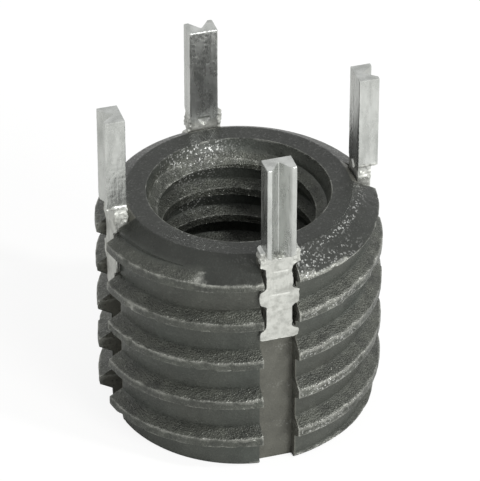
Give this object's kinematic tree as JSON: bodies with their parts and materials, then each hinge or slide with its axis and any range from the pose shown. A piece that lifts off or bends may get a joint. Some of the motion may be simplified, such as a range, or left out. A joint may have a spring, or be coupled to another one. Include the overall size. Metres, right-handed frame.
{
  "type": "key-locking threaded insert",
  "caption": "Round steel insert with a coarse thread outside, a finer thread through its bore, and upright locking keys in slots along its sides.",
  "frame": {"origin": "centre of the sleeve's flat bottom face", "axes": "+Z along the bore axis towards the keys' free ends; one key on each of -Y (front), +X, +Y and -X"},
  "size_m": [0.011, 0.011, 0.0138],
  "materials": {
    "dark_steel": "dark phosphate and oil",
    "bright_steel": "satin, bare"
  },
  "bodies": {
    "root": {"threaded_sleeve": "dark_steel", "key_front": "bright_steel", "key_right": "bright_steel", "key_back": "bright_steel", "key_left": "bright_steel"}
  },
  "joints": []
}
